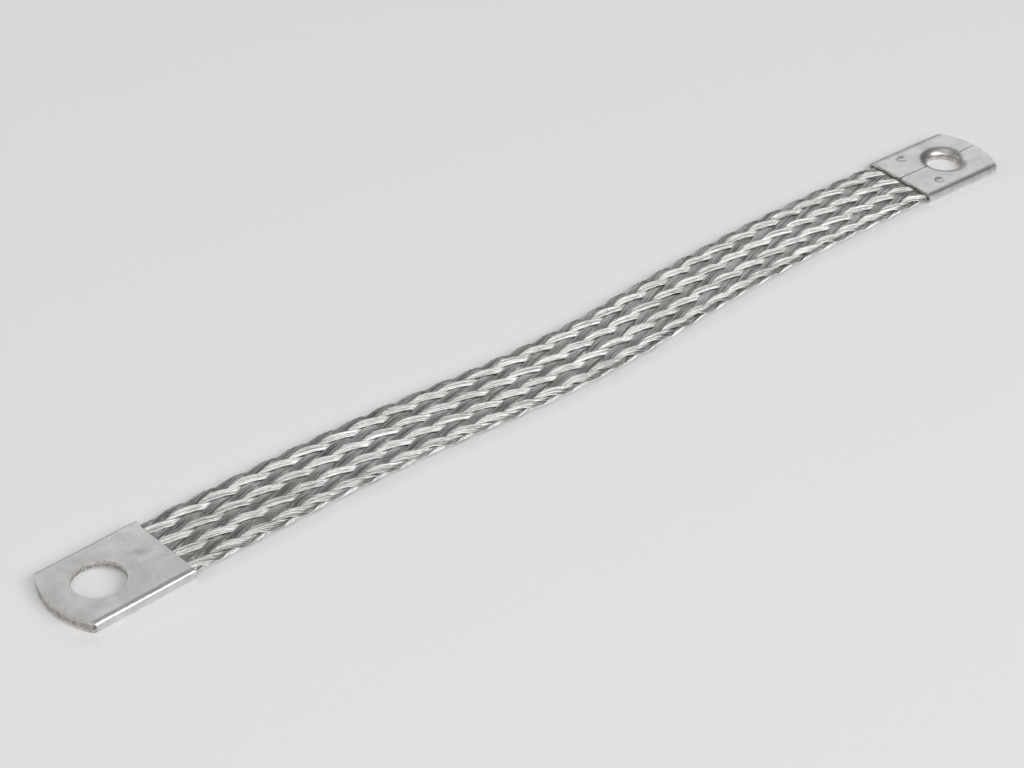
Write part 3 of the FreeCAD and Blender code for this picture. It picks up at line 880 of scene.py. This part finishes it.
@dataclass(frozen=True)
class Braid:
    """The woven strands between the two sleeves, squeezed flat where they go in."""

    route: Route
    weave: Weave
    bundle: WireBundle

    # From a bolt hole to its sleeve's mouth, and how far the wires go in
    mouth_setback: float = 11.7 * MM
    bite: float = 2.95 * MM

    # Length over which the braid is squeezed to the size that it has inside a sleeve
    squeeze: float = 6.0 * MM
    crushed_width: float = 14.86 * MM
    crushed_thickness: float = 0.86 * MM

    # Seed of the random draws, and steps in which the spacing of a wire's points is worked out
    seed: int = 7
    fine_steps: int = 4000

    @property
    def near_mouth(self) -> float:
        """Distance from the near hole to the near sleeve's mouth."""
        return self.mouth_setback

    @property
    def far_mouth(self) -> float:
        """Distance from the near hole to the far sleeve's mouth."""
        return self.route.length - self.mouth_setback

    @property
    def half_row(self) -> float:
        """Distance from a strand's middle to the last wire of its row."""
        return (self.weave.strand_width - self.bundle.diameter) / 2

    def stations(self, lay: Lay, order: float) -> np.ndarray:
        """Places along the braid for the points of a strand's wires, closer together on the folds.

        Args:
            lay: The way that the strand runs.
            order: The strand's place among its lay.

        Returns:
            Distances from the near hole.
        """
        fine = np.linspace(self.near_mouth - self.bite, self.far_mouth + self.bite, self.fine_steps)
        weight = 1.0 + self.bundle.fold_weight * self.weave.fold_share(self.weave.middle(fine, lay, order))
        spent = np.concatenate(([0.0], np.cumsum((weight[1:] + weight[:-1]) / 2)))
        return np.interp(np.linspace(0.0, spent[-1], self.bundle.stations), spent, fine)

    def drift(self, along: np.ndarray, size: float, rng: np.random.Generator) -> np.ndarray:
        """Slow seeded wander along the braid.

        Args:
            along: Distances from the near hole.
            size: About the most that it wanders.
            rng: Source of the waves' lengths, starts and heights.

        Returns:
            The wander at each distance.
        """
        total = np.zeros_like(along)
        for length in self.bundle.wave_lengths:
            stretch = length * rng.uniform(*self.bundle.wave_stretch)
            start = rng.uniform(0.0, 2.0 * math.pi)
            height = rng.uniform(*self.bundle.wave_height)
            total += height * np.sin(2.0 * math.pi * along / stretch + start)
        return size * total / len(self.bundle.wave_lengths)

    def wire(self, along: np.ndarray, lay: Lay, order: float, side: float, lift: float,
             rng: np.random.Generator) -> np.ndarray:
        """Points of one wire.

        Args:
            along: Distances from the near hole.
            lay: The way that the strand runs.
            order: The strand's place among its lay.
            side: The wire's place across its strand.
            lift: How far the wire stands off the row where the strand is on top.
            rng: Source of the wire's wander.

        Returns:
            One row of coordinates and thickness share per point.
        """
        aside = side + self.drift(along, self.bundle.wander, rng)
        around = self.weave.middle(along, lay, order) + aside
        raised = lift - self.bundle.crown * (aside / self.half_row) ** 2
        off = self.weave.rise(around, aside, lay) + raised * self.weave.on_top(around, lay)
        off += self.drift(along, self.bundle.bounce, rng)
        across, up = self.weave.wrap(around, off)
        free = ease(np.minimum(along - self.near_mouth, self.far_mouth - along) / self.squeeze)
        narrow = self.crushed_width / self.weave.width
        flatten = self.crushed_thickness / self.weave.thickness
        point, left = self.route.place(along)
        point = point + left * (across * (narrow + (1.0 - narrow) * free))[:, None]
        point[:, 2] += up * (flatten + (1.0 - flatten) * free)
        crushed = self.bundle.crushed_share
        return np.column_stack((point, crushed + (1.0 - crushed) * free))

    def strand(self, lay: Lay, number: int) -> bpy.types.Mesh:
        """Make one strand's wires as a mesh.

        Args:
            lay: The way that the strand runs.
            number: The strand's number among its lay, from 1.

        Returns:
            The mesh, with each wire's tone as an attribute.
        """
        # A seed can't be negative, so the hand is raised by 2.
        rng = np.random.default_rng((self.seed, lay.hand + 2, number))
        order = number - 1 + lay.shift
        along = self.stations(lay, order)
        places = [(side, 0.0) for side in np.linspace(-self.half_row, self.half_row, self.bundle.row)]
        places += [(side, self.bundle.rider_lift) for side in self.bundle.riders]
        curve = bpy.data.curves.new(lay.strand_name(number) + "_wires", "CURVE")
        curve.dimensions = "3D"
        curve.bevel_depth = self.bundle.diameter / 2
        curve.bevel_resolution = self.bundle.roundness
        curve.use_fill_caps = True
        for side, lift in places:
            rows = self.wire(along, lay, order, side, lift, rng)
            spline = curve.splines.new("POLY")
            spline.points.add(len(rows) - 1)
            spline.points.foreach_set("co", np.column_stack((rows[:, :3], np.ones(len(rows)))).ravel())
            spline.points.foreach_set("radius", rows[:, 3].copy())
        mesh = take_mesh(curve)
        mesh.shade_smooth()
        # Squared, so that most wires are bright and a few are dull
        tones = rng.uniform(0.0, 1.0, len(places)) ** 2
        tone = mesh.attributes.new(WireBundle.TONE, "FLOAT", "POINT")
        tone.data.foreach_set("value", np.repeat(tones, len(mesh.vertices) // len(places)))
        return mesh

    def build(self, finish: bpy.types.Material) -> None:
        """Args:
            finish: Material of the wires.
        """
        path = self.route.stretch(self.near_mouth, self.far_mouth)
        for lay in Lay:
            for number in range(1, self.weave.strands_each_way + 1):
                mesh = self.strand(lay, number)
                mesh.materials.append(finish)
                add_piece(mesh, lay.strand_name(number))
            tuple(path[0])


# End sleeves

@dataclass(frozen=True)
class EndSleeve:
    """Strip folded round the braid's end, pressed flat, cropped and punched.

    It is modelled with its tip at the origin, its mouth along +X and its seam up.
    """

    node: str
    hole_radius: float
    seam: SeamSide

    # Ear drawn out at a corner of the mouth
    ear: float = 0.0
    ear_reach: float = 1.2 * MM

    # Shallow dent in the smooth side
    mark_depth: float = 0.0
    mark_setback: float = 4.2 * MM
    mark_offset: float = 0.7 * MM
    mark_radius: float = 0.9 * MM

    # Folded strip, with how far its folds reach in from the sides and how square they are
    length: float = 20.0 * MM
    half_width: float = 8.0 * MM
    half_thickness: float = 1.0 * MM
    fold_reach: float = 1.0 * MM
    fold_squareness: float = 2.3
    wall: float = 0.55 * MM

    # Rounded tip, the hole behind it and the rim that is drawn into the hole on the seam side
    end_bulge: float = 2.4 * MM
    hole_setback: float = 8.3 * MM
    rim_radius: float = 2.3 * MM
    rim_depth: float = 0.95 * MM

    # Seam, with how much wider it is at the mouth
    seam_gap: float = 0.15 * MM
    seam_flare: float = 0.22 * MM
    flare_length: float = 0.5 * MM

    # Two round punch marks beside the seam
    dimple_radius: float = 1.0 * MM
    dimple_depth: float = 0.25 * MM
    dimple_setback: float = 5.4 * MM
    dimple_offset: float = 4.9 * MM

    # Slight waves of the pressed faces
    unevenness: float = 0.03 * MM
    wave_length: float = 4.0 * MM

    # Rounding of the cut edges, which turn by more than the angle
    edge_round: float = 0.05 * MM
    edge_segments: int = 2
    edge_angle: float = math.radians(65.0)

    # Distance within which the two faces' vertices are one
    merge_distance: float = 0.001 * MM

    # Numbers of spokes round the outline, and of rings from the hole outwards
    half_mouth_steps: int = 20
    side_steps: int = 40
    tip_steps: int = 40
    rim_rings: int = 10
    flat_rings: int = 26
    fold_rings: int = 9

    @property
    def fold_start(self) -> float:
        """Distance from the middle to where a fold starts."""
        return self.half_width - self.fold_reach

    def tip_at(self, across: float) -> float:
        """Place of the rounded tip at a distance across."""
        radius = (self.half_width ** 2 + self.end_bulge ** 2) / (2 * self.end_bulge)
        return radius - math.sqrt(radius ** 2 - across ** 2)

    def outline(self) -> list[Vector]:
        """Points round the flat between the folds, from the middle of the mouth and by the left.

        Returns:
            The points, one per spoke.
        """
        edge = self.fold_start
        corner = self.tip_at(edge)
        half = []
        for step in range(self.half_mouth_steps):
            half.append(Vector((self.length, edge * step / self.half_mouth_steps)))
        for step in range(self.side_steps):
            half.append(Vector((self.length + (corner - self.length) * step / self.side_steps, edge)))
        half_tip = self.tip_steps // 2
        for step in range(half_tip):
            across = edge * (1 - step / half_tip)
            half.append(Vector((self.tip_at(across), across)))
        other = [Vector((point.x, -point.y)) for point in reversed(half[1:])]
        return half + [Vector((0.0, 0.0))] + other

    def grow(self, bm: bmesh.types.BMesh, edges: list[bmesh.types.BMEdge],
             place: Callable[[int], Vector]) -> list[bmesh.types.BMEdge]:
        """Extrude edges and place the new vertices by their spoke.

        Args:
            bm: The mesh.
            edges: Edges to extrude.
            place: Function from a spoke's number to a point.

        Returns:
            The new edges.
        """
        spoke = bm.verts.layers.int["spoke"]
        grown = bmesh.ops.extrude_edge_only(bm, edges=edges)["geom"]
        for item in grown:
            if isinstance(item, bmesh.types.BMVert):
                item.co = place(item[spoke])
        return [item for item in grown if isinstance(item, bmesh.types.BMEdge)]

    def make_face(self, bm: bmesh.types.BMesh, side: int) -> None:
        """Make one face of the sleeve with its halves of the folds.

        Args:
            bm: The mesh.
            side: 1 for the seam side, which is drawn into the hole, and -1 for the smooth side.
        """
        outline = self.outline()
        centre = Vector((self.hole_setback, 0.0))
        towards = [(point - centre).normalized() for point in outline]
        level = side * self.half_thickness
        spoke = bm.verts.layers.int["spoke"]
        drawn = math.acos(1.0 - self.rim_depth / self.rim_radius) if side > 0 else 0.0
        opening = self.hole_radius + self.rim_radius * math.sin(drawn)

        def on_rim(number: int, angle: float) -> Vector:
            """Point of a spoke on the drawn rim."""
            flat = centre + towards[number] * (opening - self.rim_radius * math.sin(angle))
            return Vector((*flat, level - self.rim_radius * (1.0 - math.cos(angle))))

        def on_flat(number: int, share: float) -> Vector:
            """Point of a spoke on the flat, from the hole to the outline."""
            inner = centre + towards[number] * opening
            return Vector((*inner.lerp(outline[number], share), level))

        def on_fold(number: int, angle: float) -> Vector:
            """Point of a spoke on a fold.

            Args:
                number: The spoke's number.
                angle: Turn round the fold, from the flat.

            Returns:
                The point.
            """
            power = 2.0 / self.fold_squareness
            across = self.fold_start + self.fold_reach * math.sin(angle) ** power
            stretch = (self.length - self.tip_at(across)) / (self.length - self.tip_at(self.fold_start))
            x = self.length - (self.length - outline[number].x) * stretch
            height = level * max(0.0, math.cos(angle)) ** power
            return Vector((x, math.copysign(across, outline[number].y), height))

        circle = bmesh.ops.create_circle(bm, segments=len(outline), radius=self.hole_radius)["verts"]
        for number, vert in enumerate(circle):
            vert[spoke] = number
            vert.co = on_rim(number, drawn)
        edges = list(dict.fromkeys(edge for vert in circle for edge in vert.link_edges))
        if drawn:
            for ring in range(self.rim_rings - 1, -1, -1):
                edges = self.grow(bm, edges, partial(on_rim, angle=drawn * ring / self.rim_rings))
        for ring in range(1, self.flat_rings + 1):
            edges = self.grow(bm, edges, partial(on_flat, share=ring / self.flat_rings))
        folded = self.fold_edges(edges, spoke, len(outline))
        for ring in range(1, self.fold_rings + 1):
            folded = self.grow(bm, folded, partial(on_fold, angle=math.pi / 2 * ring / self.fold_rings))

    def fold_edges(self, edges: list[bmesh.types.BMEdge], spoke: bmesh.types.BMLayerItem,
                   count: int) -> list[bmesh.types.BMEdge]:
        """Find the edges of the outline that lie along the two folds.

        Args:
            edges: Edges of the outline.
            spoke: Layer that holds each vertex's spoke.
            count: Number of spokes.

        Returns:
            The edges along the folds.
        """
        first = self.half_mouth_steps
        last = first + self.side_steps
        found = []
        for edge in edges:
            numbers = [vert[spoke] for vert in edge.verts]
            mirrored = [count - number for number in numbers]
            for run in (numbers, mirrored):
                if all(first <= number <= last for number in run):
                    found.append(edge)
        return found

    def open_seam(self, bm: bmesh.types.BMesh) -> None:
        """Part the seam side along its middle, a little wider at the mouth.

        Args:
            bm: The mesh.
        """
        spoke = bm.verts.layers.int["spoke"]
        middles = (0, self.half_mouth_steps + self.side_steps + self.tip_steps // 2)

        def on_seam(vert: bmesh.types.BMVert, middle: int) -> bool:
            """Whether a vertex is on one run of the seam."""
            return vert[spoke] == middle and vert.co.z > 0.0

        for middle in middles:
            edges = [edge for edge in bm.edges if all(on_seam(vert, middle) for vert in edge.verts)]
            bmesh.ops.split_edges(bm, edges=edges)
        for vert in bm.verts:
            if any(on_seam(vert, middle) for middle in middles):
                lean = sum(face.calc_center_median().y for face in vert.link_faces)
                flare = self.seam_flare * math.exp((vert.co.x - self.length) / self.flare_length)
                vert.co.y += math.copysign(self.seam_gap / 2 + flare, lean)

    def press(self, bm: bmesh.types.BMesh) -> None:
        """Press the punch marks, the slight unevenness, the dent and the ear at a corner of the mouth.

        Args:
            bm: The mesh.
        """
        ball = (self.dimple_radius ** 2 + self.dimple_depth ** 2) / (2 * self.dimple_depth)
        for vert in bm.verts:
            x, y, z = vert.co
            wave = noise.noise(Vector((x, y, z + self.hole_radius)) / self.wave_length)
            flatness = min(1.0, abs(z) / self.half_thickness)
            vert.co.z += self.unevenness * wave * flatness
            away = math.hypot(x - self.length + self.dimple_setback, abs(y) - self.dimple_offset)
            if z > 0.0 and away < self.dimple_radius:
                sunk = math.sqrt(ball ** 2 - away ** 2) - ball + self.dimple_depth
                vert.co.z -= sunk
            marked = math.hypot(x - self.length + self.mark_setback, y + self.mark_offset) / self.mark_radius
            if z < 0.0:
                vert.co.z += self.mark_depth * math.exp(-marked ** 2)
            corner = math.hypot(x - self.length, y - self.half_width * self.seam.value)
            vert.co.x += self.ear * math.exp(-((corner / self.ear_reach) ** 2))

    def stand(self, record: dict[str, Any]) -> Matrix:
        """Where the sleeve stands on the strap.

        Args:
            record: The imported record, which gives the bolt holes.

        Returns:
            The matrix from the sleeve's own frame to the strap's.
        """
        up = Matrix.Translation((0.0, 0.0, self.half_thickness))
        back = Matrix.Translation((-self.hole_setback, 0.0, 0.0))
        if self.seam is SeamSide.DOWN:
            return up @ back @ Matrix.Rotation(math.pi, 4, "X")
        hole = next(mount for mount in record["mounts"] if mount["name"] == "far_hole")["pos_m"]
        (ax, ay), (bx, by) = Route.POINTS[-2:]
        heading = math.atan2(by - ay, bx - ax)
        turn = Matrix.Rotation(math.pi + heading, 4, "Z")
        return up @ Matrix.Translation((hole[0], hole[1], 0.0)) @ turn @ back

    def shape(self, record: dict[str, Any]) -> bpy.types.Mesh:
        """Make the sleeve's outer face, in its place.

        Args:
            record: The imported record.

        Returns:
            The mesh.
        """
        bm = bmesh.new()
        bm.verts.layers.int.new("spoke")
        for side in (1, -1):
            self.make_face(bm, side)
        bmesh.ops.remove_doubles(bm, verts=bm.verts, dist=self.merge_distance)
        bmesh.ops.recalc_face_normals(bm, faces=bm.faces)
        highest = max(bm.faces, key=lambda face: face.calc_center_median().z)
        if highest.normal.z < 0.0:
            bmesh.ops.reverse_faces(bm, faces=bm.faces)
        self.open_seam(bm)
        self.press(bm)
        bmesh.ops.transform(bm, matrix=self.stand(record), verts=bm.verts)
        mesh = bpy.data.meshes.new(f"{self.node}_strip")
        bm.to_mesh(mesh)
        bm.free()
        mesh.shade_smooth()
        return mesh

    def thicken(self, piece: bpy.types.Object) -> None:
        """Give the outer face its wall and round the cut edges.

        Args:
            piece: The sleeve, with the edges' material second.
        """
        thick = piece.modifiers.new("wall", "SOLIDIFY")
        thick.thickness = self.wall
        thick.offset = -1.0
        thick.material_offset_rim = 1
        rounding = piece.modifiers.new("edges", "BEVEL")
        rounding.width = self.edge_round
        rounding.segments = self.edge_segments
        rounding.limit_method = "ANGLE"
        rounding.angle_limit = self.edge_angle
        rounding.use_clamp_overlap = False
        rounding.harden_normals = True

    def build(self, record: dict[str, Any], sheet: bpy.types.Material,
              edge: bpy.types.Material) -> bpy.types.Object:
        """Make the sleeve.

        Args:
            record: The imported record.
            sheet: Material of the faces.
            edge: Material of the cut edges.

        Returns:
            The piece.
        """
        mesh = self.shape(record)
        mesh.materials.append(sheet)
        mesh.materials.append(edge)
        piece = add_piece(mesh, self.node)
        self.thicken(piece)
        return piece


def dress_pressed_ends(nodes: dict[str, bpy.types.Object], finish: bpy.types.Material) -> None:
    """Give the crushed strands inside the sleeves their finish.

    Args:
        nodes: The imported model's nodes by name.
        finish: Material of the crushed wires.
    """
    for name in ("near_pressed_end", "far_pressed_end"):
        nodes[name].data.materials.clear()
        nodes[name].data.materials.append(finish)
        log.info("%s: dressed", name)


def main() -> None:
    """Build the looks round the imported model."""
    logging.basicConfig(level=logging.INFO, format="%(name)s: %(message)s")
    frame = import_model()
    Studio().build()
    effects = SharedEffects()
    mottle = effects.tin_mottle()
    grain = effects.shear_grain()
    sheet = TinnedSheet().build(mottle)
    edge = ShearedEdge().build(grain)
    Braid(Route(), Weave(), WireBundle()).build(TinnedWire().build(mottle))
    near = EndSleeve(
        "near_sleeve", hole_radius=4.2 * MM, seam=SeamSide.DOWN, ear=0.45 * MM, mark_depth=0.08 * MM)
    near.build(frame["record"], sheet, edge)
    far = EndSleeve("far_sleeve", hole_radius=3.2 * MM, seam=SeamSide.UP, fold_reach=1.9 * MM)
    far.build(frame["record"], sheet, edge)
    dress_pressed_ends(frame["nodes"], CrushedWire().build(grain))


if __name__ == "__main__":
    main()
